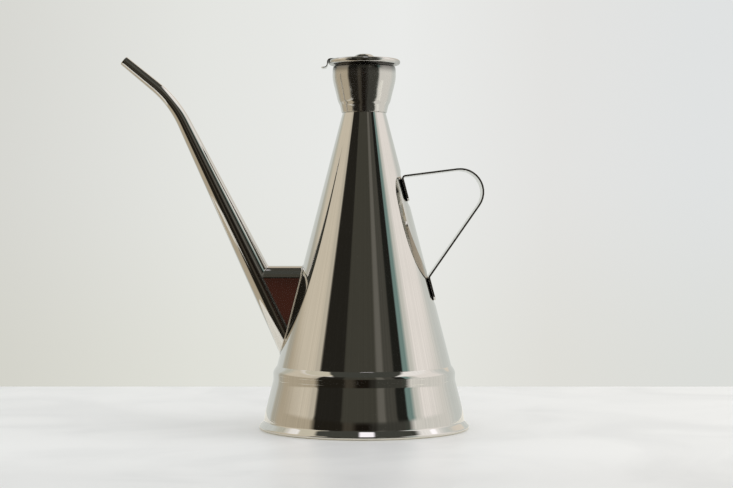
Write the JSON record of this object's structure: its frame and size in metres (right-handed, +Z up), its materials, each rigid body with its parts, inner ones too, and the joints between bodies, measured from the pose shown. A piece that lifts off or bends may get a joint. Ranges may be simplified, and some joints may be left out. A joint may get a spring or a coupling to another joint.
{
  "type": "olive oil dispenser",
  "caption": "Conical steel table cruet for olive oil with a funnel mouth, a press-in lid with a lift tab, a long braced pouring spout and a strap handle.",
  "frame": {"origin": "on the surface that the foot rests on, under the middle of the whole object's box; the can's own axis stands at X = +33.1 mm", "axes": "+Z up along the can's axis, +X from the spout's side to the handle's side, Y across the object"},
  "size_m": [0.1944, 0.112, 0.1997],
  "materials": {
    "polished_steel": "mirror-polished stainless sheet",
    "spun_steel": "polished stainless with faint turning marks",
    "pressed_steel": "bright pressed stainless",
    "satin_steel": "satin stainless, as rolled"
  },
  "bodies": {
    "can": {"body_cone": "polished_steel", "base_skirt": "polished_steel", "bottom_plate": "satin_steel", "mouth_funnel": "spun_steel", "spout_tube": "polished_steel", "spout_brace": "polished_steel", "handle_strap": "polished_steel"},
    "lid": {"lid_disc": "pressed_steel", "lid_plug_ring": "satin_steel", "lid_lift_tab": "pressed_steel"}
  },
  "joints": [
    {"name": "lid_lift", "type": "slide", "parent": "can", "child": "lid", "axis": [0, 0, 1], "range_m": [0, 0.03]}
  ]
}
